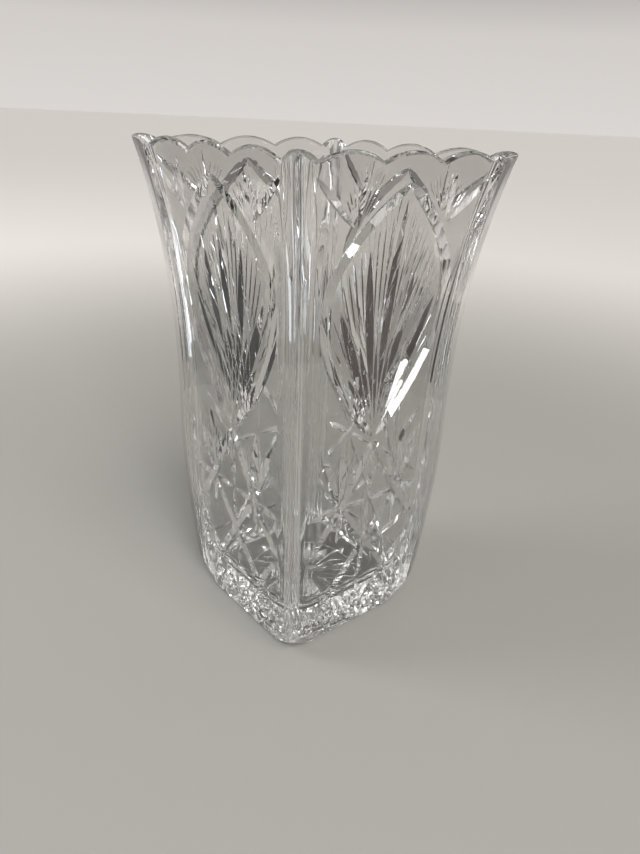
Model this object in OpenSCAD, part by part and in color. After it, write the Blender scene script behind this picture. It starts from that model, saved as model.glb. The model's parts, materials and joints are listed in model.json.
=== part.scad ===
// Square cut-crystal flower vase: flared four-sided body with scalloped rim and a solid foot.
// The glass is one piece; it is drawn as the regions a glass cutter names, which meet face to face.
// Millimetres, +Z up, origin at the centre of the face that the vase stands on.

/* [Body] */
// Height from the table to the tops of the scallops
vase_h = 250; // [220:5:300]
// Half width between opposite sides at the rim
rim_half = 64; // [58:1:72]
// Half width at the waist, where the sides stand upright
waist_half = 50.5; // [46:0.5:54]
// Half width just above the rounded edge of the foot
foot_half = 43.2; // [41:0.2:45]
// Height of the waist
waist_z = 105; // [90:5:120]
// How late the sides turn outwards above the waist
flare_power = 2.5; // [2:0.1:3]
// How the sides draw in below the waist
taper_power = 1.6; // [1.3:0.1:2]

/* [Glass] */
// Wall thickness at the rim
rim_wall = 4.5; // [3.5:0.1:6]
// Wall thickness carried down to the foot
foot_wall = 8; // [6:0.5:9]
// Thickness of solid glass under the cavity
foot_glass = 22; // [16:1:28]
// Radius of the cavity's upright corners
cavity_corner = 8; // [6:0.5:9]
// Radius where the cavity's floor turns up into the walls
floor_round = 8; // [5:0.5:9]

/* [Rim] */
// Scallops along each side
scallops = 3; // [2:1:5]
// Depth of the notches between scallops
scallop_depth = 4; // [2:0.5:6]
// Width of the corner region along each side
corner_leg = 10.5; // [9:0.5:12]

/* [Foot] */
// Radius of the rounded lower edge
foot_round = 3; // [2:0.5:6]
// How far the foot's corners are cut back at the table, measured along the diagonal
toe_cut = 10; // [4:0.5:12]
// Height at which that cut-back has faded out
toe_z = 21; // [12:1:21]
// Radius of the hollow ground into the underside
hollow_r = 30; // [20:1:34]
// Depth of that hollow
hollow_depth = 1; // [0.5:0.5:2]

/* [Hidden] */

glass = [0.86, 0.90, 0.90, 0.5];
reach = 2 * rim_half;       // long enough to pass right through the vase
floor_z = foot_glass;
wall_z = foot_glass + floor_round;    // where the foot block ends and the walls begin
cusp_z = vase_h - scallop_depth;
cavity_sides = 16;
quarter_steps = 5;          // facets in a quarter round
toe_step = 4;               // height of a facet of the cut-back corners
taper_step = 10;            // height of a facet below the waist
flare_step = 9;             // height of a facet above it

// Half width of the outside at height z.
function taper_half(z) =
    waist_half - (waist_half - foot_half) * pow((waist_z - z) / (waist_z - foot_round), taper_power);
function flare_half(z) =
    waist_half + (rim_half - waist_half) * pow((z - waist_z) / (vase_h - waist_z), flare_power);
function outer_half(z) =
    z >= waist_z ? flare_half(z)
    : z >= foot_round ? taper_half(z)
    : foot_half - foot_round + sqrt(max(0, foot_round * foot_round - pow(foot_round - z, 2)));

// Distance from the axis to the flat that cuts a foot corner back; it stands clear of the corner above toe_z.
function toe_reach(z) =
    sqrt(2) * outer_half(z) + (z < toe_z ? -toe_cut * pow(1 - z / toe_z, 2) : 1);

function wall(z) = rim_wall + (foot_wall - rim_wall) * (1 - z / vase_h);

// Half width of the cavity, drawn in by a quarter round above its floor.
function round_in(z) =
    z >= wall_z ? 0 : floor_round - sqrt(max(0, floor_round * floor_round - pow(wall_z - z, 2)));
function inner_half(z) = outer_half(z) - wall(z) - round_in(z);

// Distance from the axis to a flat that touches the cavity's rounded square at this angle.
function cavity_reach(z, angle) =
    (inner_half(z) - cavity_corner) * (abs(cos(angle)) + abs(sin(angle))) + cavity_corner;

// Heights at which the facets meet, in order upwards.
function quarter(radius) = [for (i = [0:quarter_steps]) radius * (1 - cos(90 * i / quarter_steps))];
function evenly(low, high, step) = let (count = ceil((high - low) / step))
    [for (i = [1:count]) low + (high - low) * i / count];
foot_levels = quarter(foot_round);
wall_levels = concat([wall_z], evenly(wall_z, waist_z, taper_step), evenly(waist_z, vase_h, flare_step));
foot_block_levels = concat(foot_levels, evenly(foot_round, toe_z, toe_step),
                           evenly(toe_z, floor_z, taper_step), [wall_z]);
cavity_levels = concat([for (rise = quarter(floor_round)) floor_z + rise],
                       [for (i = [1:len(wall_levels) - 1]) wall_levels[i]],
                       [vase_h + 1]);

// An upright outline in a vertical plane at this angle, pushed right through the vase across that plane.
module across(angle) {
    rotate([0, 0, angle]) rotate([90, 0, 0])
        linear_extrude(height = 2 * reach, center = true) children();
}

// An upright outline with the same half widths on both sides of the axis, one at each level.
module both_sides(levels, widths) {
    last = len(levels) - 1;
    polygon(concat([for (i = [0:last]) [widths[i], levels[i]]],
                   [for (i = [last:-1:0]) [-widths[i], levels[i]]]));
}

module cavity() {
    step = 360 / cavity_sides;
    intersection_for(angle = [0:step:180 - step])
        across(angle) both_sides(cavity_levels, [for (z = cavity_levels) cavity_reach(z, angle)]);
}

// Upright outline of a run of scallops: arcs through the notches, and everything below them.
module scallop_outline(count, width) {
    pitch = width / count;
    arc_r = (pow(pitch / 2, 2) + pow(scallop_depth, 2)) / (2 * scallop_depth);
    for (i = [0:count - 1])
        translate([(i - (count - 1) / 2) * pitch, vase_h - arc_r]) circle(r = arc_r, $fn = 180);
    translate([-reach, 0]) square([2 * reach, cusp_z]);
}

// Band of the wall along one side, from the corner region's depth out to the face.
module side_band(angle) {
    band = concat([for (z = wall_levels) [outer_half(z), z]],
                  [for (i = [len(wall_levels) - 1:-1:0])
                      [outer_half(wall_levels[i]) - corner_leg, wall_levels[i]]]);
    across(angle) polygon(band);
}

// Width of a panel, between its two corner regions.
module panel_width(angle) {
    across(angle) both_sides(wall_levels, [for (z = wall_levels) outer_half(z) - corner_leg]);
}

// Solid foot, up to where the cavity's floor has turned into the walls.
module foot_block() {
    sides = [for (z = foot_block_levels) outer_half(z)];
    toes = [for (z = foot_block_levels) toe_reach(z)];
    color(glass) difference() {
        intersection() {
            across(0) both_sides(foot_block_levels, sides);
            across(90) both_sides(foot_block_levels, sides);
            across(45) both_sides(foot_block_levels, toes);
            across(135) both_sides(foot_block_levels, toes);
        }
        cavity();
        translate([0, 0, -1]) cylinder(r = hollow_r, h = 1 + hollow_depth, $fn = 96);
    }
}

// One flat side of the vase, with its run of scallops. The side faces the given angle from +X.
module panel(angle) {
    color(glass) difference() {
        intersection() {
            side_band(angle);
            panel_width(angle + 90);
            across(angle + 90) scallop_outline(scallops, 2 * (rim_half - corner_leg));
        }
        cavity();
    }
}

// One upright corner, between two panels, under its own scallop. It stands at this angle from +X.
module corner(angle) {
    color(glass) difference() {
        intersection() {
            side_band(angle - 45);
            side_band(angle + 45);
            across(angle + 90) scallop_outline(1, corner_leg * sqrt(2));
        }
        cavity();
    }
}

foot_block();
panel(-90);  // front_panel
panel(0);  // right_panel
panel(90);  // back_panel
panel(180);  // left_panel
corner(-45);  // front_right_corner
corner(45);  // back_right_corner
corner(135);  // back_left_corner
corner(-135);  // front_left_corner
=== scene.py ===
"""Looks of a square cut-crystal flower vase: one body of clear glass with its cuts, a floor and soft light.

The glass is modelled in millimetres in the frame's own axes and scaled to metres when it is finished.
"""

import json
import logging
from collections.abc import Callable
from dataclasses import dataclass, field, replace
from enum import Enum
from math import ceil, cos, hypot, pi, radians, sin, sqrt

import bmesh
import bpy
from mathutils import Matrix, Vector

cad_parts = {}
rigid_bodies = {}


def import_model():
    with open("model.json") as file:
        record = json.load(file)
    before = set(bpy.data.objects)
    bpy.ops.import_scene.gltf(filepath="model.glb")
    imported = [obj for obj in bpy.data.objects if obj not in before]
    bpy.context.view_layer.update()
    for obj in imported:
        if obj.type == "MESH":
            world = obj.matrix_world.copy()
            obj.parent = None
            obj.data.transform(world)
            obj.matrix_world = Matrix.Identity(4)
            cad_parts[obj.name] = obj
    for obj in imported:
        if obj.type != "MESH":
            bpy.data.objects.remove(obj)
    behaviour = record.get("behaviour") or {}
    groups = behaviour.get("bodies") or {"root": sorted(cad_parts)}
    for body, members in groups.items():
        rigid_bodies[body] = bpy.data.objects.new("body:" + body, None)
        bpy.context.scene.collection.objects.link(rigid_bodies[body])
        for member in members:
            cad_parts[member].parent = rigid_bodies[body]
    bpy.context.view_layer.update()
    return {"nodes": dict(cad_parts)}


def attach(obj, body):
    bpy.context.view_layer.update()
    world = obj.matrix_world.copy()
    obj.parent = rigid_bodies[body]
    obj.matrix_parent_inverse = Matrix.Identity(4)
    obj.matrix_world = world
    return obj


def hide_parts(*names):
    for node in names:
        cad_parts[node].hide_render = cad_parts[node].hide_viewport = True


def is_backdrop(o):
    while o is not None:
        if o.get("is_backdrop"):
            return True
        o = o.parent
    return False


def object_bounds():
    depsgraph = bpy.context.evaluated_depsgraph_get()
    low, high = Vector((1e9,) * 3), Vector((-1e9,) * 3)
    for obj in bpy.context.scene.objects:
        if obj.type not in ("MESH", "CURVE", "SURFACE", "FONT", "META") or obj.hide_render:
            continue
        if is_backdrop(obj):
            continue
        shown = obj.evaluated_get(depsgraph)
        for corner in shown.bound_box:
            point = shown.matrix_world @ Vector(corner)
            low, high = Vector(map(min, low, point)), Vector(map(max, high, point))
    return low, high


LOG = logging.getLogger("vase")
MILLIMETRE = 0.001
SIDES = 4
LIGHT_BOUNCES = 24


class Taper(Enum):
    """How the width of a mitre cut changes from its root to its tip."""

    LEAF = "leaf"
    PALM = "palm"
    EVEN = "even"

    def share(self, t: float) -> float:
        """Gives the share of the full width that the cut has at a place along it.

        Args:
            t: place along the cut, from 0 at its root to 1 at its tip.

        Returns:
            A share from 0 to 1.
        """
        fullness, root_slimness, end_bluntness, widest = 0.8, 1.8, 14, 0.62
        if self is Taper.LEAF:
            return (4 * t * (1 - t)) ** fullness
        if self is Taper.PALM:
            if t < widest:
                return sin(pi / 2 * t / widest) ** root_slimness
            return max(0.0, cos(pi / 2 * (t - widest) / (1 - widest))) ** fullness
        return 1 - abs(2 * t - 1) ** end_bluntness


@dataclass
class VaseForm:
    """The blank's shape in millimetres, before it is cut.

    Attributes:
        height: from the table to the tops of the scallops.
        rim_half: half width at the rim, to the arris of a corner.
        waist_half: half width at the waist.
        foot_half: half width just above the foot's rounded edge.
        waist_z: height of the waist.
        flare_power: how late the sides turn outwards above the waist.
        taper_power: how the sides draw in below the waist.
        foot_round: radius of the rounded lower edge.
        toe_radius: radius of the foot's corners at the table, seen from below.
        toe_z: height at which that rounding has faded out.
        rim_wall: wall thickness at the rim.
        lip_height: height of the rim's rounded lip.
        foot_wall: wall thickness carried down to the foot.
        floor_z: height of the cavity's floor.
        cavity_corner: radius of the cavity's upright corners.
        floor_round: radius where the floor turns up into the walls.
        scallop_depth: depth of the notches in the rim.
        face_inset: how far a face lies behind the arris beside it.
        rim_leg: width of a corner strip at the rim.
        waist_leg: width of a corner strip at the waist.
        leg_start_z: height at which the corner strips begin to widen.
        leg_power: how late they widen above it.
        flute_depth: depth of the flute along each edge of a face.
        flute_top: distance below the rim at which the flute ends.
        flute_fade: height over which it fades out below that.
        scoop_depth: depth of the hollow strip beside each arris.
        hollow_radius: radius of the hollow ground into the underside.
        hollow_depth: depth of that hollow.
    """

    height: float = 250.0
    rim_half: float = 64.0
    waist_half: float = 50.5
    foot_half: float = 43.2
    waist_z: float = 105.0
    flare_power: float = 2.5
    taper_power: float = 1.6
    foot_round: float = 3.0
    toe_radius: float = 24.0
    toe_z: float = 21.0
    rim_wall: float = 4.5
    lip_height: float = 1.6
    foot_wall: float = 8.0
    floor_z: float = 22.0
    cavity_corner: float = 8.0
    floor_round: float = 8.0
    scallop_depth: float = 4.0
    face_inset: float = 1.2
    rim_leg: float = 10.5
    waist_leg: float = 4.4
    leg_start_z: float = 185.0
    leg_power: float = 1.6
    flute_depth: float = 0.75
    flute_top: float = 24.0
    flute_fade: float = 14.0
    scoop_depth: float = 0.55
    hollow_radius: float = 30.0
    hollow_depth: float = 1.0

    @classmethod
    def from_frame(cls) -> "VaseForm":
        """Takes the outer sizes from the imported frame.

        Returns:
            A form whose height and rim match the CAD box.
        """
        low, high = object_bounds()
        return cls(height=high[2] / MILLIMETRE, rim_half=(high[0] - low[0]) / 2 / MILLIMETRE)

    def half(self, z: float) -> float:
        """Gives the half width at a height, to the arris.

        Args:
            z: height above the table.

        Returns:
            Distance from the axis to the arris plane.
        """
        if z >= self.waist_z:
            share = (z - self.waist_z) / (self.height - self.waist_z)
            return self.waist_half + (self.rim_half - self.waist_half) * share ** self.flare_power
        if z >= self.foot_round:
            share = (self.waist_z - z) / (self.waist_z - self.foot_round)
            return self.waist_half - (self.waist_half - self.foot_half) * share ** self.taper_power
        drop = self.foot_round - z
        return self.foot_half - self.foot_round + sqrt(max(0.0, self.foot_round ** 2 - drop ** 2))

    def face(self, z: float) -> float:
        """Gives the distance from the axis to a face at height z."""
        return self.half(z) - self.face_inset

    def leg(self, z: float) -> float:
        """Gives the width of a corner strip at height z."""
        share = min(1.0, max(0.0, (z - self.leg_start_z) / (self.height - self.leg_start_z)))
        return self.waist_leg + (self.rim_leg - self.waist_leg) * share ** self.leg_power

    def inner_half(self, z: float) -> float:
        """Gives the cavity's half width at a height.

        Args:
            z: height above the table.

        Returns:
            Distance from the axis to the cavity's wall.
        """
        wall = self.rim_wall + (self.foot_wall - self.rim_wall) * (1 - z / self.height)
        drop = max(0.0, self.floor_z + self.floor_round - z)
        turn = self.floor_round - sqrt(max(0.0, self.floor_round ** 2 - drop ** 2))
        return self.half(z) - wall - turn


@dataclass
class Blank:
    """The uncut vase, drawn up ring by ring from the underside, over the rim and down to the cavity's floor.

    Attributes:
        form: the shape that the rings follow.
        face_steps: spans from the middle of a face to its corner strip.
        flute_steps: how many of those spans the flute takes.
        corner_steps: spans across a corner strip.
        scallops: scallops along each face.
        level_gap: height between rings on the walls.
        toe_gap: height between rings on the foot's corners.
        round_steps: rings in each rounded edge.
        sway_z: height above which the rings bend to follow the scallops.
    """

    form: VaseForm
    face_steps: int = 24
    flute_steps: int = 4
    corner_steps: int = 4
    scallops: int = 3
    level_gap: float = 6.0
    toe_gap: float = 2.5
    round_steps: int = 6
    sway_z: float = 215.0

    def edge_place(self, index: int) -> tuple[float, bool]:
        """Says where a ring's vertex lies between the middle of a face and the arris.

        Args:
            index: vertex number within an eighth of the ring, from 0 at the middle of the face.

        Returns:
            The share of the way, and whether that is across the corner strip.
        """
        if index <= self.face_steps:
            return index / self.face_steps, False
        return (index - self.face_steps) / self.corner_steps, True

    def crest(self, index: int) -> float:
        """Gives the rim's height over a vertex of an eighth of the ring.

        Args:
            index: vertex number within the eighth.

        Returns:
            Height above the table.
        """
        share, on_corner = self.edge_place(index)
        if on_corner:
            offset = 1 - share
        else:
            offset = abs((share * self.scallops + 1) % 2 - 1)
        return self.form.height - self.form.scallop_depth * offset ** 2

    def outer_point(self, index: int, z: float) -> tuple[float, float]:
        """Gives a point of the outside on the +X face's upper half.

        Args:
            index: vertex number within an eighth of the ring.
            z: height of the point.

        Returns:
            The distance out from the axis and the distance along the face.
        """
        form = self.form
        share, on_corner = self.edge_place(index)
        edge = form.half(z) - form.leg(z)
        if on_corner:
            out = form.face(z) + form.face_inset * share - form.scoop_depth * sin(pi * share)
            return self.toed(out, edge + form.leg(z) * share, z)
        flute_start = 1 - self.flute_steps / self.face_steps
        dip = 0.0
        if share > flute_start:
            fade = min(1.0, max(0.0, (form.height - form.flute_top - z) / form.flute_fade))
            dip = form.flute_depth * fade * sin(pi * (share - flute_start) / (1 - flute_start))
        return self.toed(form.face(z) - dip, edge * share, z)

    def toed(self, out: float, along: float, z: float) -> tuple[float, float]:
        """Pulls a point of the outside in where the foot's corners are rounded.

        Args:
            out: distance out from the axis.
            along: distance along the face.
            z: height of the point.

        Returns:
            The distances out and along after the rounding.
        """
        form = self.form
        radius = form.toe_radius * max(0.0, 1 - z / form.toe_z) ** 2
        centre = form.half(z) - radius
        reach = hypot(out - centre, along - centre)
        if along <= centre or out <= centre or reach <= radius:
            return out, along
        return centre + (out - centre) * radius / reach, centre + (along - centre) * radius / reach

    def inner_point(self, index: int, z: float) -> tuple[float, float]:
        """Gives the cavity's point that faces an outer one.

        Args:
            index: vertex number within an eighth of the ring.
            z: height of the point.

        Returns:
            The distance out from the axis and the distance along the face.
        """
        share, on_corner = self.edge_place(index)
        edge = 1 - self.form.leg(z) / self.form.half(z)
        share = edge + (1 - edge) * share if on_corner else edge * share
        half = self.form.inner_half(z)
        radius = min(self.form.cavity_corner, half)
        straight = half - radius
        along = share * (straight + radius * pi / 4)
        if along <= straight:
            return half, along
        turn = (along - straight) / radius
        return straight + radius * cos(turn), straight + radius * sin(turn)

    def ring(self, point: Callable[[int], Vector]) -> list[Vector]:
        """Repeats an eighth of a ring round all four faces.

        Args:
            point: gives the place of a vertex of an eighth, on the +X face.

        Returns:
            The places of a whole ring's vertices, anticlockwise from the middle of the +X face.
        """
        last = self.face_steps + self.corner_steps
        eighth = [point(index) for index in range(last + 1)]
        mirrored = [Vector((p.x, -p.y, p.z)) for p in reversed(eighth[1:])]
        quarter = mirrored + eighth[:-1]
        places = []
        for side in range(SIDES):
            turn = Matrix.Rotation(side * pi / 2, 3, "Z")
            places += [turn @ p for p in quarter]
        return places

    def swayed(self, index: int, level: float) -> float:
        """Gives the height of a ring's vertex, bent near the rim to follow the scallops."""
        share = max(0.0, (level - self.sway_z) / (self.form.height - self.sway_z))
        return level + (self.crest(index) - self.form.lip_height - self.form.height) * share

    def arcs(self) -> list[float]:
        """Lists the angles of the rings across a quarter round."""
        return [i / self.round_steps * pi / 2 for i in range(self.round_steps + 1)]

    def underside_rings(self) -> list[list[Vector]]:
        """Lists the rings of the hollow in the underside.

        Returns:
            The rings, outwards from the hollow's floor.
        """
        form = self.form

        def round_ring(radius: float, z: float) -> list[Vector]:
            """Draws a circle whose vertices face those of the outside."""
            def place(index: int) -> Vector:
                """Puts a vertex on the circle."""
                out, along = self.outer_point(index, 0)
                return Vector((out * radius / hypot(out, along), along * radius / hypot(out, along), z))
            return self.ring(place)

        return [
            round_ring(form.hollow_radius - form.hollow_depth, form.hollow_depth),
            round_ring(form.hollow_radius, 0),
        ]

    def outer_rings(self) -> list[list[Vector]]:
        """Lists the rings of the outside, from the table to the foot of the lip.

        Returns:
            The rings, upwards.
        """
        form = self.form
        levels = [form.foot_round * (1 - cos(a)) for a in self.arcs()]
        levels += evenly(form.foot_round, form.toe_z, self.toe_gap)
        levels += evenly(form.toe_z, form.height, self.level_gap)
        rings = []
        for level in levels:
            def place(index: int, level: float = level) -> Vector:
                """Puts a vertex at this ring's level."""
                z = self.swayed(index, level)
                out, along = self.outer_point(index, z)
                return Vector((out, along, z))
            rings.append(self.ring(place))
        return rings

    def lip_rings(self) -> list[list[Vector]]:
        """Lists the rings over the rounded lip.

        Returns:
            The rings, from the outside to the inside.
        """
        rings = []
        for angle in [2 * a for a in self.arcs()[1:-1]]:
            def place(index: int, angle: float = angle) -> Vector:
                """Puts a vertex on the lip's round."""
                top = self.crest(index) - self.form.lip_height
                outer = Vector(self.outer_point(index, top))
                point = outer.lerp(Vector(self.inner_point(index, top)), (1 - cos(angle)) / 2)
                return Vector((point.x, point.y, top + self.form.lip_height * sin(angle)))
            rings.append(self.ring(place))
        return rings

    def inner_rings(self) -> list[list[Vector]]:
        """Lists the rings of the cavity, from the lip down to its floor.

        Returns:
            The rings, downwards.
        """
        form = self.form
        low = form.floor_z + form.floor_round
        levels = [form.height] + [form.height + low - z for z in evenly(low, form.height, self.level_gap)]
        levels += [form.floor_z + form.floor_round * (1 - sin(a)) for a in self.arcs()[1:]]
        rings = []
        for level in levels:
            def place(index: int, level: float = level) -> Vector:
                """Puts a vertex at this ring's level."""
                z = self.swayed(index, level)
                out, along = self.inner_point(index, z)
                return Vector((out, along, z))
            rings.append(self.ring(place))
        return rings

    def build(self) -> bmesh.types.BMesh:
        """Draws the rings up into one closed shell.

        Returns:
            The blank's mesh, in millimetres.
        """
        bm = bmesh.new()
        rings = self.underside_rings() + self.outer_rings() + self.lip_rings() + self.inner_rings()
        bmesh.ops.create_circle(bm, cap_ends=True, segments=len(rings[0]), radius=1)
        face = bm.faces[:][0]
        for vert, place in zip(face.verts, rings[0]):
            vert.co = place
        edges = face.edges[:]
        verts = face.verts[:]
        for places in rings[1:]:
            grown = bmesh.ops.extrude_edge_only(bm, edges=edges)["geom"]
            edges = [g for g in grown if isinstance(g, bmesh.types.BMEdge)]
            fresh = {g for g in grown if isinstance(g, bmesh.types.BMVert)}
            verts = [next(e.other_vert(v) for e in v.link_edges if e.other_vert(v) in fresh) for v in verts]
            for vert, place in zip(verts, places):
                vert.co = place
        bmesh.ops.contextual_create(bm, geom=edges)
        bmesh.ops.recalc_face_normals(bm, faces=bm.faces)
        return bm


def evenly(low: float, high: float, gap: float) -> list[float]:
    """Divides a stretch into equal spans no longer than the gap.

    Args:
        low: lower end of the stretch.
        high: its upper end.
        gap: the longest span.

    Returns:
        The upper ends of the spans.
    """
    count = ceil((high - low) / gap)
    return [low + (high - low) * i / count for i in range(1, count + 1)]


@dataclass
class Cut:
    """One mitre cut in a face, drawn in the face's own plane.

    Attributes:
        path: points that the cut's middle follows, as (along the face, height).
        width: full width of the cut where it is widest.
        taper: how the width changes along it.
        steps: spans along it.
        depth_share: depth of the cut as a share of its width.
    """

    path: list[tuple[float, float]]
    width: float
    taper: Taper = Taper.LEAF
    steps: int = 10
    depth_share: float = 0.46

    def at(self, t: float) -> tuple[Vector, Vector]:
        """Gives a place on the cut and the direction across it.

        Args:
            t: place along the cut, from 0 to 1.

        Returns:
            The point, and a unit vector square to the cut's run.
        """
        points = [Vector(p) for p in self.path]
        spans = [(b - a).length for a, b in zip(points, points[1:])]
        goal = t * sum(spans)
        for a, b, span in zip(points, points[1:], spans):
            if goal <= span or b == points[-1]:
                run = (b - a).normalized()
                return a + run * goal, Vector((-run.y, run.x))
            goal -= span
        raise ValueError("a cut needs two points")

    def mirrored(self) -> "Cut":
        """Gives the same cut on the other half of the face."""
        return replace(self, path=[(-u, z) for u, z in self.path])


@dataclass
class MitreWheel:
    """The V-edged wheel that makes the cuts.

    Attributes:
        lift: how far the middle of a cutter stands proud of the face, as a share of its depth.
        tip: size of a cutter's blunt end, in millimetres.
    """

    lift: float = 0.2
    tip: float = 0.004

    def cutter(self, cut: Cut, surface: Callable[[Vector, float], Vector]) -> bmesh.types.BMesh:
        """Makes the four-edged spindle that removes one cut.

        Args:
            cut: the cut to make.
            surface: gives the place in space of a point in the cut's plane, at a distance out of the glass.

        Returns:
            The cutter's mesh.
        """
        bm = bmesh.new()
        bmesh.ops.create_cone(bm, cap_ends=True, segments=4, radius1=1, radius2=1, depth=1)
        rails = [e for e in bm.edges if abs(e.verts[0].co.z - e.verts[1].co.z) > 0.5]
        bmesh.ops.subdivide_edges(bm, edges=rails, cuts=cut.steps - 1, use_grid_fill=True)
        for vert in bm.verts:
            t = vert.co.z + 0.5
            point, across = cut.at(t)
            half = max(self.tip, cut.width / 2 * cut.taper.share(t)) / (1 - self.lift)
            depth = half * 2 * cut.depth_share
            full_depth = cut.width * cut.depth_share / (1 - self.lift)
            vert.co = surface(point + across * (vert.co.x * half), vert.co.y * depth + self.lift * full_depth)
        if bm.calc_volume(signed=True) < 0:
            bmesh.ops.reverse_faces(bm, faces=bm.faces)
        return bm


@dataclass
class FacePattern:
    """The cut pattern of one face, in millimetres along the face and up.

    Attributes:
        oval_top: height at which the oval's two arcs cross above.
        oval_wide_z: height at which the oval is widest.
        oval_cross: height at which they cross below.
        oval_half: half width of the oval.
        upper_power: how late the oval closes above its widest place.
        lower_power: the same below it.
        step_u: half the width of a diamond of the lattice.
        step_z: half its height.
        star_z: height of the upper row of stars.
        edge_u: distance from the middle to the edge of the pattern.
        fan_u: distance of the upper fans' roots from the middle.
        fan_z: height of those roots.
        fan_start: share of a fan hair's length at which it starts.
        fan_round: share of a fan hair's length that it loses for each degree from upright.
        overrun: how far the oval's arcs run on past their upper crossing.
        band: width of the oval's and the lattice's cuts.
        hair: width of the fine cuts.
        hair_inset: how far inside the oval the palm's hairs stop.
        shallow: depth of the lower half's leaves as a share of their width.
        shallow_band: the same for the lattice's long diagonals.
    """

    oval_top: float = 237.0
    oval_wide_z: float = 184.0
    oval_cross: float = 118.5
    oval_half: float = 37.5
    upper_power: float = 2.0
    lower_power: float = 1.75
    step_u: float = 18.7
    step_z: float = 25.5
    star_z: float = 84.0
    edge_u: float = 39.0
    fan_u: float = 26.0
    fan_z: float = 219.0
    fan_start: float = 0.22
    fan_round: float = 0.004
    overrun: float = 1.5
    band: float = 5.4
    hair: float = 0.9
    hair_inset: float = 4.5
    shallow: float = 0.28
    shallow_band: float = 0.22

    def surface(self, form: VaseForm) -> Callable[[Vector, float], Vector]:
        """Lays the pattern on the +X face.

        Args:
            form: the shape that is cut.

        Returns:
            A function that gives the place of a point of the pattern, at a distance out of the glass.
        """
        return lambda place, out: Vector((form.face(place.y) + out, place.x, place.y))

    def row(self, index: int) -> float:
        """Gives the height of a row of the lattice's crossings, counted down from the stars."""
        return self.star_z - index * self.step_z

    def oval_u(self, z: float) -> float:
        """Gives the oval's half width at a height.

        Args:
            z: height on the face.

        Returns:
            Distance from the middle line to the oval's arc.
        """
        if z >= self.oval_wide_z:
            share = (z - self.oval_wide_z) / (self.oval_top - self.oval_wide_z)
            return self.oval_half * (1 - share ** self.upper_power)
        share = (self.oval_wide_z - z) / (self.oval_wide_z - self.oval_cross)
        return self.oval_half * (1 - share ** self.lower_power)

    def oval(self) -> list[Cut]:
        """Cuts one arc of the oval and the shallower diagonal of the lattice that carries it on.

        Returns:
            The two cuts.
        """
        spans = 28
        top = self.oval_top + self.overrun
        heights = [top + (self.oval_cross - top) * i / spans for i in range(spans + 1)]
        tail = [(0.0, self.oval_cross), (-self.step_u, self.star_z), (-2 * self.step_u, self.row(1))]
        return [
            Cut([(self.oval_u(z), z) for z in heights], self.band, Taper.EVEN, 36),
            Cut(tail, self.band, Taper.EVEN, 14, self.shallow_band),
        ]

    def reach(self, degrees: float, inset: float) -> tuple[float, float]:
        """Gives the point inside the oval that a ray from the lower crossing reaches.

        Args:
            degrees: direction of the ray from straight up.
            inset: how far inside the oval it stops.

        Returns:
            The point, along the face and up.
        """
        length, step = 40.0, 0.5
        while True:
            u, z = ray((0.0, self.oval_cross), degrees, length)
            if z > self.oval_top - inset or abs(u) > self.oval_u(z) - inset:
                return u, z
            length += step

    def palm(self) -> list[Cut]:
        """Cuts one half of the palm that fills the oval: long leaves, short ones over them, hairs between.

        Returns:
            The cuts.
        """
        root = (0.0, self.oval_cross)
        cuts = []
        long_leaves = ((10.2, 5.2, 97), (23.5, 5.9, 77))
        short_leaves = ((5.1, 2.2, 50), (16.8, 3.0, 54), (30.5, 3.0, 44))
        for leaves, steps in ((long_leaves, 16), (short_leaves, 10)):
            for degrees, width, length in leaves:
                cuts.append(Cut([root, ray(root, degrees, length)], width, Taper.PALM, steps))
        for low, high, count, start in ((3.4, 7.6, 3, 58), (13.2, 20.4, 4, 56), (27.0, 31.0, 2, 46)):
            for i in range(count):
                degrees = low + (high - low) * i / (count - 1)
                tip = self.reach(degrees, self.hair_inset)
                cuts.append(Cut([ray(root, degrees, start), tip], self.hair, Taper.LEAF, 6))
        return cuts

    def fan(self, root: tuple[float, float], directions: list[float], length: float) -> list[Cut]:
        """Cuts a fan of hairs.

        Args:
            root: the point that the hairs spring from.
            directions: their directions, in degrees from straight up.
            length: length of the middle ones.

        Returns:
            The hairs.
        """
        cuts = []
        for degrees in directions:
            far = length * (1 - self.fan_round * abs(degrees))
            path = [ray(root, degrees, self.fan_start * far), ray(root, degrees, far)]
            cuts.append(Cut(path, self.hair, Taper.PALM, 5))
        return cuts

    def upper_fan(self) -> list[Cut]:
        """Cuts the fan between the oval and the corner, under the rim.

        Returns:
            Its two leaves and its hairs.
        """
        root = (self.fan_u, self.fan_z)
        return [
            Cut([root, (self.fan_u + 0.5, 243.5)], 3.0, Taper.LEAF, 8),
            Cut([root, (self.fan_u + 27, 241.5)], 3.8, Taper.LEAF, 12),
        ] + self.fan(root, [-36, -28, -20, -12, 10, 18, 26, 34], 21)

    def star(self) -> list[Cut]:
        """Cuts the star where the oval's tails meet the lattice, with its fan above.

        Returns:
            Its leaves and its hairs.
        """
        root = (self.step_u, self.star_z)
        return [
            Cut([root, (self.step_u + 1.5, 124.0)], 6.0, Taper.LEAF, 12),
            Cut([root, (self.step_u + 15.5, 121.5)], 5.4, Taper.LEAF, 12),
            Cut([root, (self.step_u - 11.5, 110.0)], 4.6, Taper.LEAF, 10),
            Cut([root, (self.edge_u, self.star_z - 1)], 4.4, Taper.LEAF, 8),
            Cut([root, (0.0, self.star_z)], 3.6, Taper.LEAF, 8),
            Cut([root, (self.step_u, self.row(1) + 3)], 3.6, Taper.LEAF, 8),
        ] + self.fan(root, [-17, -12, -7, 7, 11, 15, 28, 33, 38], 34)

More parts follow.
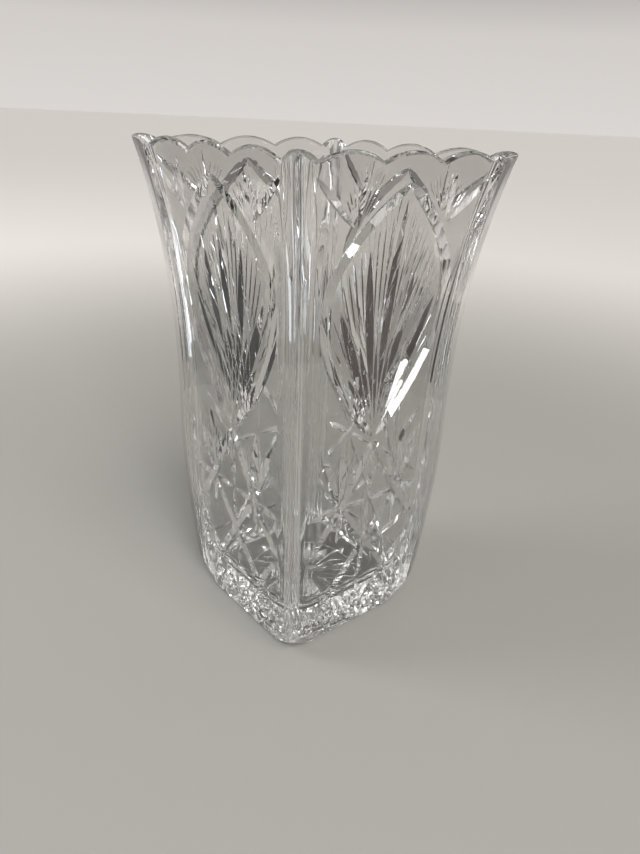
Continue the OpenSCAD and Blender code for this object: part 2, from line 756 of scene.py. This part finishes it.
    def lattice(self) -> list[Cut]:
        """Cuts the diagonals of the lower lattice and the small cuts that dress its diamonds.

        Returns:
            The cuts of one half of the face.
        """
        star = (self.step_u, self.star_z)
        middle = (0.0, self.row(1))
        side = (2 * self.step_u, self.row(1))
        low = (self.step_u, self.row(2))
        quarter_u, quarter_z = self.step_u / 2, self.step_z / 2
        far_low = (-self.step_u, self.row(2))
        cuts = [
            Cut([star, middle, far_low, (-self.edge_u, self.row(3) - 2)], self.band, Taper.EVEN, 20),
            Cut([side, low, (0.0, self.row(3) - 4)], self.band, Taper.EVEN, 14),
        ]
        for way in (-1, 1):
            u, z = self.step_u, self.row(3)
            cuts.append(Cut([(u - way * quarter_u, z - quarter_z), (u + way * quarter_u, z + quarter_z)],
                            2.4, Taper.EVEN, 6))
        cuts += [
            Cut([low, (self.edge_u - 1, self.row(2))], 4.6, Taper.LEAF, 8),
            Cut([low, (0.0, self.row(2))], 3.8, Taper.LEAF, 8),
            Cut([low, (self.step_u, 3.0)], 5.0, Taper.LEAF, 8),
            Cut([low, (self.step_u - 9, 4.0)], 4.2, Taper.LEAF, 8),
            Cut([low, (self.edge_u - 9, 5.0)], 4.6, Taper.LEAF, 8),
            Cut([side, (self.edge_u - 3, self.row(2) + 4)], 3.6, Taper.LEAF, 6),
        ]
        return cuts

    def middle_cuts(self) -> list[Cut]:
        """Cuts the leaves on the face's own middle line.

        Returns:
            The cuts, from the palm's middle leaf down.
        """
        return [
            Cut([(0.0, self.oval_cross), (0.0, self.oval_top - 1.5)], 5.6, Taper.PALM, 18),
            Cut([(0.0, self.oval_cross - 5), (0.0, self.star_z)], 4.6, Taper.LEAF, 8),
            Cut([(0.0, self.star_z), (0.0, self.row(1))], 4.0, Taper.LEAF, 8),
            Cut([(0.0, self.row(1)), (0.0, self.row(2))], 3.6, Taper.LEAF, 8),
            Cut([(0.0, self.row(2)), (0.0, self.row(3))], 4.4, Taper.LEAF, 8),
        ]

    def cuts(self) -> list[Cut]:
        """Lists every cut of one face.

        Returns:
            The cuts of both halves and of the middle line.
        """
        depths = {Taper.EVEN: self.shallow_band, Taper.LEAF: self.shallow, Taper.PALM: self.shallow}
        lower = [replace(cut, depth_share=depths[cut.taper]) for cut in self.star() + self.lattice()]
        half = self.oval() + self.palm() + self.upper_fan() + lower
        return half + [c.mirrored() for c in half] + self.middle_cuts()


@dataclass
class BaseStar:
    """The star cut into the underside, in millimetres across the base.

    Attributes:
        rays: how many cuts it has in all four quarters.
        inner: distance of a ray's root from the axis.
        long_reach: distance of a long ray's tip from the axis.
        short_reach: the same for the short rays between.
        width: width of a ray.
    """

    rays: int = 24
    inner: float = 2.0
    long_reach: float = 37.0
    short_reach: float = 27.0
    width: float = 5.0

    def surface(self, form: VaseForm) -> Callable[[Vector, float], Vector]:
        """Lays the star on the underside.

        Args:
            form: the shape that is cut.

        Returns:
            A function that gives the place of a point of the star, at a distance out of the glass.
        """
        def place_on(place: Vector, out: float) -> Vector:
            """Puts a point of the star on the hollow, or on the flat round it."""
            share = min(1.0, max(0.0, form.hollow_radius - place.length))
            return Vector((place.x, place.y, form.hollow_depth * share - out))
        return place_on

    def cuts(self) -> list[Cut]:
        """Lists the cuts of one quarter of the star.

        Returns:
            Its rays, long and short in turn.
        """
        cuts = []
        for i in range(self.rays // SIDES):
            degrees = (i + 0.5) * 360 / self.rays
            reach = self.long_reach if i % 2 else self.short_reach
            cuts.append(Cut([ray((0, 0), degrees, self.inner), ray((0, 0), degrees, reach)],
                            self.width, Taper.PALM, 8))
        return cuts


def ray(root: tuple[float, float], degrees: float, length: float) -> tuple[float, float]:
    """Gives the end of a line drawn from a root.

    Args:
        root: where the line starts, as (along the face, height).
        degrees: its direction from straight up.
        length: its length.

    Returns:
        The end, in the same terms as the root.
    """
    return root[0] + length * sin(radians(degrees)), root[1] + length * cos(radians(degrees))


@dataclass
class CrystalVase:
    """The vase's one body of glass.

    Attributes:
        form: its shape.
        pattern: the cut pattern of each face.
        base: the star in the underside.
        wheel: the wheel that makes the cuts.
        sharp_angle: degrees past which an edge between facets is crisp.
        merge_gap: distance in millimetres within which vertices are merged.
    """

    form: VaseForm
    pattern: FacePattern = field(default_factory=FacePattern)
    base: BaseStar = field(default_factory=BaseStar)
    wheel: MitreWheel = field(default_factory=MitreWheel)
    sharp_angle: float = 18.0
    merge_gap: float = 0.0005

    def build(self) -> bpy.types.Object:
        """Makes the blank and cuts all four faces.

        Returns:
            The finished glass object, in metres.
        """
        scene = bpy.context.scene
        blank = bpy.data.objects.new("vase_glass", as_mesh(Blank(self.form).build(), "blank"))
        scene.collection.objects.link(blank)
        cutters = bpy.data.collections.new("cutters")
        scene.collection.children.link(cutters)
        for design in (self.pattern, self.base):
            for cut in design.cuts():
                mesh = as_mesh(self.wheel.cutter(cut, design.surface(self.form)), "cutter")
                for side in range(SIDES):
                    tool = bpy.data.objects.new("cutter", mesh)
                    tool.rotation_euler.z = side * pi / 2
                    cutters.objects.link(tool)
        modifier = blank.modifiers.new("cuts", "BOOLEAN")
        modifier.operation = "DIFFERENCE"
        modifier.solver = "MANIFOLD"
        modifier.operand_type = "COLLECTION"
        modifier.collection = cutters
        graph = bpy.context.evaluated_depsgraph_get()
        mesh = bpy.data.meshes.new_from_object(blank.evaluated_get(graph))
        blank.modifiers.clear()
        blank.data = mesh
        mesh.materials.clear()
        for face in mesh.polygons:
            face.material_index = 0
        for tool in cutters.objects[:]:
            bpy.data.objects.remove(tool)
        bpy.data.collections.remove(cutters)
        self.finish(mesh)
        return blank

    def finish(self, mesh: bpy.types.Mesh) -> None:
        """Cleans the cut mesh, scales it to metres and sets its crisp edges.

        Args:
            mesh: the cut mesh, in millimetres.
        """
        bm = bmesh.new()
        bm.from_mesh(mesh)
        bmesh.ops.remove_doubles(bm, verts=bm.verts, dist=self.merge_gap)
        bmesh.ops.triangulate(bm, faces=bm.faces)
        bmesh.ops.scale(bm, verts=bm.verts, vec=Vector((MILLIMETRE,) * 3))
        LOG.info("open edges: %d", sum(1 for e in bm.edges if not e.is_manifold))
        bm.to_mesh(mesh)
        bm.free()
        mesh.shade_smooth()
        mesh.set_sharp_from_angle(angle=radians(self.sharp_angle))


def as_mesh(bm: bmesh.types.BMesh, name: str) -> bpy.types.Mesh:
    """Turns a bmesh into mesh data and frees it.

    Args:
        bm: the bmesh.
        name: the mesh's name.

    Returns:
        The mesh.
    """
    mesh = bpy.data.meshes.new(name)
    bm.to_mesh(mesh)
    bm.free()
    return mesh


@dataclass(frozen=True)
class CrystalFinish:
    """Polished clear crystal.

    Attributes:
        tint: colour that light takes on as it passes.
        ior: refractive index.
        haze: roughness of the polish where it is least even.
        clear_share: share of the polish's unevenness below which it has no haze.
        hazy_share: share at which the haze is full.
        ripple_scale: how many ripples the hand polish leaves in a metre.
        ripple: strength of those ripples.
        ripple_height: height of a full ripple, in metres.
    """

    tint: tuple[float, float, float, float] = (0.84, 0.84, 0.832, 1.0)
    ior: float = 1.54
    haze: float = 0.02
    clear_share: float = 0.5
    hazy_share: float = 0.8
    ripple_scale: float = 90.0
    ripple: float = 0.05
    ripple_height: float = 0.001

    def material(self) -> bpy.types.Material:
        """Builds the material.

        Returns:
            The glass material.
        """
        material = bpy.data.materials.new("clear_crystal")
        material.use_nodes = True
        nodes, links = material.node_tree.nodes, material.node_tree.links
        shader = nodes["Principled BSDF"]
        shader.inputs["Base Color"].default_value = self.tint
        shader.inputs["IOR"].default_value = self.ior
        shader.inputs["Transmission Weight"].default_value = 1.0
        place = nodes.new("ShaderNodeTexCoord")
        polish = nodes.new("ShaderNodeTexNoise")
        polish.inputs["Scale"].default_value = self.ripple_scale
        polish.inputs["Detail"].default_value = 2.0
        links.new(place.outputs["Object"], polish.inputs["Vector"])
        haze = nodes.new("ShaderNodeMapRange")
        haze.inputs["From Min"].default_value = self.clear_share
        haze.inputs["From Max"].default_value = self.hazy_share
        haze.inputs["To Max"].default_value = self.haze
        links.new(polish.outputs["Fac"], haze.inputs["Value"])
        links.new(haze.outputs["Result"], shader.inputs["Roughness"])
        ripples = nodes.new("ShaderNodeBump")
        ripples.inputs["Strength"].default_value = self.ripple
        ripples.inputs["Distance"].default_value = self.ripple_height
        links.new(polish.outputs["Fac"], ripples.inputs["Height"])
        links.new(ripples.outputs["Normal"], shader.inputs["Normal"])
        return material


@dataclass(frozen=True)
class FloorFinish:
    """Matt pale floor with painted shade: darker under the vase than far from it.

    Attributes:
        painted_shade_color: painted shade, the darker colour by the vase.
        far_color: colour far from it.
        near: distance from the vase within which the painted shade is at its darkest, in metres.
        far: distance past which the painted shade has faded to the far colour.
        roughness: roughness of the floor.
    """

    # painted shade: the floor's colour is painted darker by the vase
    painted_shade_color: tuple[float, float, float, float] = (0.37, 0.362, 0.34, 1.0)
    far_color: tuple[float, float, float, float] = (0.88, 0.85, 0.82, 1.0)
    near: float = 0.30
    far: float = 1.3
    roughness: float = 0.7

    def material(self) -> bpy.types.Material:
        """Builds the material.

        Returns:
            The floor's material.
        """
        material = bpy.data.materials.new("pale_floor_painted_shade")
        material.use_nodes = True
        nodes, links = material.node_tree.nodes, material.node_tree.links
        shader = nodes["Principled BSDF"]
        shader.inputs["Roughness"].default_value = self.roughness
        place = nodes.new("ShaderNodeTexCoord")
        distance = nodes.new("ShaderNodeVectorMath")
        distance.operation = "LENGTH"
        links.new(place.outputs["Object"], distance.inputs[0])
        # fades the painted shade out with distance from the vase
        shade = nodes.new("ShaderNodeMapRange")
        shade.interpolation_type = "SMOOTHSTEP"
        shade.inputs["From Min"].default_value = self.near
        shade.inputs["From Max"].default_value = self.far
        links.new(distance.outputs["Value"], shade.inputs["Value"])
        mix = nodes.new("ShaderNodeMix")
        mix.data_type = "RGBA"
        links.new(shade.outputs["Result"], mix.inputs["Factor"])
        first, second = [socket for socket in mix.inputs if socket.type == "RGBA"]
        # the darker colour by the vase is painted shade
        first.default_value = self.painted_shade_color
        second.default_value = self.far_color
        result = next(socket for socket in mix.outputs if socket.type == "RGBA")
        links.new(result, shader.inputs["Base Color"])
        return material


@dataclass(frozen=True)
class Flag:
    """A flat sector on the floor that only the glass sees, so that its cuts read dark or bright.

    Attributes:
        name: the object's name.
        sector: its first and last direction, in degrees anticlockwise from straight ahead.
        reach: its inner and outer radius, in metres.
        color: its colour.
        glow: how brightly it shines by itself.
        lift: its height above the table.
        steps: spans along its arcs.
    """

    name: str
    sector: tuple[float, float]
    reach: tuple[float, float]
    color: tuple[float, float, float, float]
    glow: float = 0.0
    lift: float = 0.001
    steps: int = 24

    def lay(self, ahead: float) -> None:
        """Lays the flag.

        Args:
            ahead: the direction straight ahead of the camera, in degrees from +X.
        """
        first, last = self.sector
        bm = bmesh.new()
        verts = [bmesh.ops.create_vert(bm, co=(radius, 0, self.lift))["vert"][0] for radius in self.reach]
        edge = bm.edges.new(verts)
        bmesh.ops.rotate(bm, verts=bm.verts, matrix=Matrix.Rotation(radians(ahead + first), 3, "Z"))
        bmesh.ops.spin(bm, geom=verts + [edge], axis=(0, 0, 1), angle=radians(last - first), steps=self.steps)
        flag = bpy.data.objects.new(self.name, as_mesh(bm, self.name))
        flag.data.materials.append(self.material())
        for kind in ("camera", "diffuse", "shadow", "volume_scatter"):
            setattr(flag, f"visible_{kind}", False)
        bpy.context.scene.collection.objects.link(flag)
        flag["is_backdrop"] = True

    def material(self) -> bpy.types.Material:
        """Builds the flag's material.

        Returns:
            A matt material that shines where the flag has a glow.
        """
        material = bpy.data.materials.new(self.name)
        material.use_nodes = True
        shader = material.node_tree.nodes["Principled BSDF"]
        shader.inputs["Base Color"].default_value = self.color
        shader.inputs["Roughness"].default_value = 1.0
        shader.inputs["Emission Color"].default_value = self.color
        shader.inputs["Emission Strength"].default_value = self.glow
        return material


@dataclass(frozen=True)
class SoftLamp:
    """A square soft light that faces the vase.

    Attributes:
        name: the lamp's name.
        spot: where it stands, in metres.
        size: length of its sides.
        energy: its power in watts.
        target: height on the vase's axis that it faces.
    """

    name: str
    spot: tuple[float, float, float]
    size: float
    energy: float
    target: float = 0.12

    def hang(self) -> None:
        """Puts the lamp in the scene."""
        data = bpy.data.lights.new(self.name, "AREA")
        data.energy = self.energy
        data.size = self.size
        lamp = bpy.data.objects.new(self.name, data)
        lamp.location = self.spot
        facing = Vector((0, 0, self.target)) - Vector(self.spot)
        lamp.rotation_euler = facing.to_track_quat("-Z", "Y").to_euler()
        bpy.context.scene.collection.objects.link(lamp)


@dataclass
class Studio:
    """A pale floor with painted shade by the vase, soft light and the camera.

    Attributes:
        azimuth: direction that the camera stands in, in degrees from -Y towards +X.
        distance: its distance from the vase's axis, in metres.
        height: its height above the table.
        pitch: degrees that it looks down.
        roll: degrees that it leans.
        yaw: degrees that it looks away from the axis.
        lens: its focal length in millimetres.
        sensor: width of its sensor in millimetres.
        floor_radius: radius of the floor, in metres.
        floor_drop: how far the floor lies below the vase.
        floor_finish: the floor's finish, with painted shade by the vase.
        flags: the dark flags and the bright card beside the vase.
        lamps: the soft lights.
        sun_way: direction that the daylight comes from.
        sun_energy: strength of the daylight.
        sun_angle: degrees that its source spans.
        sun_color: colour of the daylight.
        room: colours of the room by the sine of their height above the horizon.
    """

    azimuth: float = 50.56
    distance: float = 0.3487
    height: float = 0.2605
    pitch: float = 23.88
    roll: float = 2.70
    yaw: float = -0.93
    lens: float = 29.51
    sensor: float = 36.0
    floor_radius: float = 40.0
    floor_drop: float = 0.0002
    floor_finish: FloorFinish = FloorFinish()
    flags: tuple[Flag, ...] = (
        Flag("left_flag", (64, 100), (0.38, 1.6), (0.012, 0.011, 0.012, 1)),
        Flag("right_flag", (226, 300), (0.38, 1.6), (0.04, 0.03, 0.025, 1)),
        Flag("card", (50, 64), (0.45, 0.8), (0.85, 0.92, 1.0, 1), glow=2.6),
    )
    lamps: tuple[SoftLamp, ...] = (
        SoftLamp("window", (1.52, -0.63, 0.79), 0.5, 14),
        SoftLamp("fill", (-1.0, -1.3, 1.5), 0.8, 14),
    )
    sun_way: tuple[float, float, float] = (0.75, -0.15, 1.0)
    sun_energy: float = 1.7
    sun_angle: float = 35.0
    sun_color: tuple[float, float, float] = (1.0, 0.975, 0.95)
    room: tuple[tuple[float, tuple[float, float, float, float]], ...] = (
        (0.0, (0.70, 0.67, 0.645, 1)),
        (0.10, (0.64, 0.61, 0.585, 1)),
        (0.22, (0.26, 0.245, 0.235, 1)),
        (0.62, (0.24, 0.232, 0.225, 1)),
        (1.0, (0.5, 0.49, 0.48, 1)),
    )

    def build(self) -> None:
        """Sets up everything round the vase but the camera."""
        self.floor()
        for flag in self.flags:
            flag.lay(90 + self.azimuth)
        self.daylight()
        for lamp in self.lamps:
            lamp.hang()
        self.world()

    def camera(self) -> None:
        """Sets the camera."""
        data = bpy.data.cameras.new("camera")
        data.lens = self.lens
        data.sensor_width = self.sensor
        data.clip_start = 0.01
        camera = bpy.data.objects.new("camera", data)
        bpy.context.scene.collection.objects.link(camera)
        turn = radians(self.azimuth)
        spot = Vector((sin(turn) * self.distance, -cos(turn) * self.distance, self.height))
        facing = turn + radians(self.yaw)
        level = Vector((-sin(facing), cos(facing), 0))
        ahead = level * cos(radians(self.pitch)) - Vector((0, 0, sin(radians(self.pitch))))
        right = ahead.cross(Vector((0, 0, 1))).normalized()
        up = right.cross(ahead)
        roll = radians(self.roll)
        right, up = right * cos(roll) + up * sin(roll), up * cos(roll) - right * sin(roll)
        rotation = Matrix((right, up, -ahead)).transposed().to_4x4()
        camera.matrix_world = Matrix.Translation(spot) @ rotation
        bpy.context.scene.camera = camera

    def floor(self) -> None:
        """Lays the floor."""
        bm = bmesh.new()
        bmesh.ops.create_circle(bm, cap_ends=True, segments=96, radius=self.floor_radius)
        bmesh.ops.translate(bm, verts=bm.verts, vec=(0, 0, -self.floor_drop))
        floor = bpy.data.objects.new("floor", as_mesh(bm, "floor"))
        floor.data.materials.append(self.floor_finish.material())
        bpy.context.scene.collection.objects.link(floor)
        floor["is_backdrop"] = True

    def daylight(self) -> None:
        """Sets the broad daylight."""
        sun = bpy.data.lights.new("daylight", "SUN")
        sun.energy = self.sun_energy
        sun.angle = radians(self.sun_angle)
        sun.color = self.sun_color
        lamp = bpy.data.objects.new("daylight", sun)
        lamp.rotation_euler = Vector(self.sun_way).to_track_quat("Z", "Y").to_euler()
        bpy.context.scene.collection.objects.link(lamp)

    def world(self) -> None:
        """Sets the room's own light."""
        world = bpy.data.worlds.new("room")
        bpy.context.scene.world = world
        world.use_nodes = True
        nodes, links = world.node_tree.nodes, world.node_tree.links
        place = nodes.new("ShaderNodeTexCoord")
        split = nodes.new("ShaderNodeSeparateXYZ")
        links.new(place.outputs["Generated"], split.inputs[0])
        ramp = nodes.new("ShaderNodeValToRGB")
        links.new(split.outputs["Z"], ramp.inputs["Fac"])
        stops = ramp.color_ramp.elements
        stops[0].position, stops[0].color = self.room[0]
        stops[1].position, stops[1].color = self.room[-1]
        for position, color in self.room[1:-1]:
            stops.new(position).color = color
        links.new(ramp.outputs["Color"], nodes["Background"].inputs["Color"])


def main() -> None:
    """Builds the vase and its studio, and reports each piece."""
    logging.basicConfig(level=logging.INFO, format="%(name)s: %(message)s")
    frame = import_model()
    studio = Studio()
    studio.camera()
    form = VaseForm.from_frame()
    glass = CrystalVase(form).build()
    glass.data.materials.append(CrystalFinish().material())
    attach(glass, "root")
    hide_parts(*frame["nodes"])
    LOG.info("%s: %d triangles", glass.name, len(glass.data.polygons))
    studio.build()
    bpy.context.scene.view_settings.view_transform = "Standard"
    paths = bpy.context.scene.cycles
    paths.max_bounces = paths.transmission_bounces = paths.glossy_bounces = LIGHT_BOUNCES


if __name__ == "__main__":
    main()
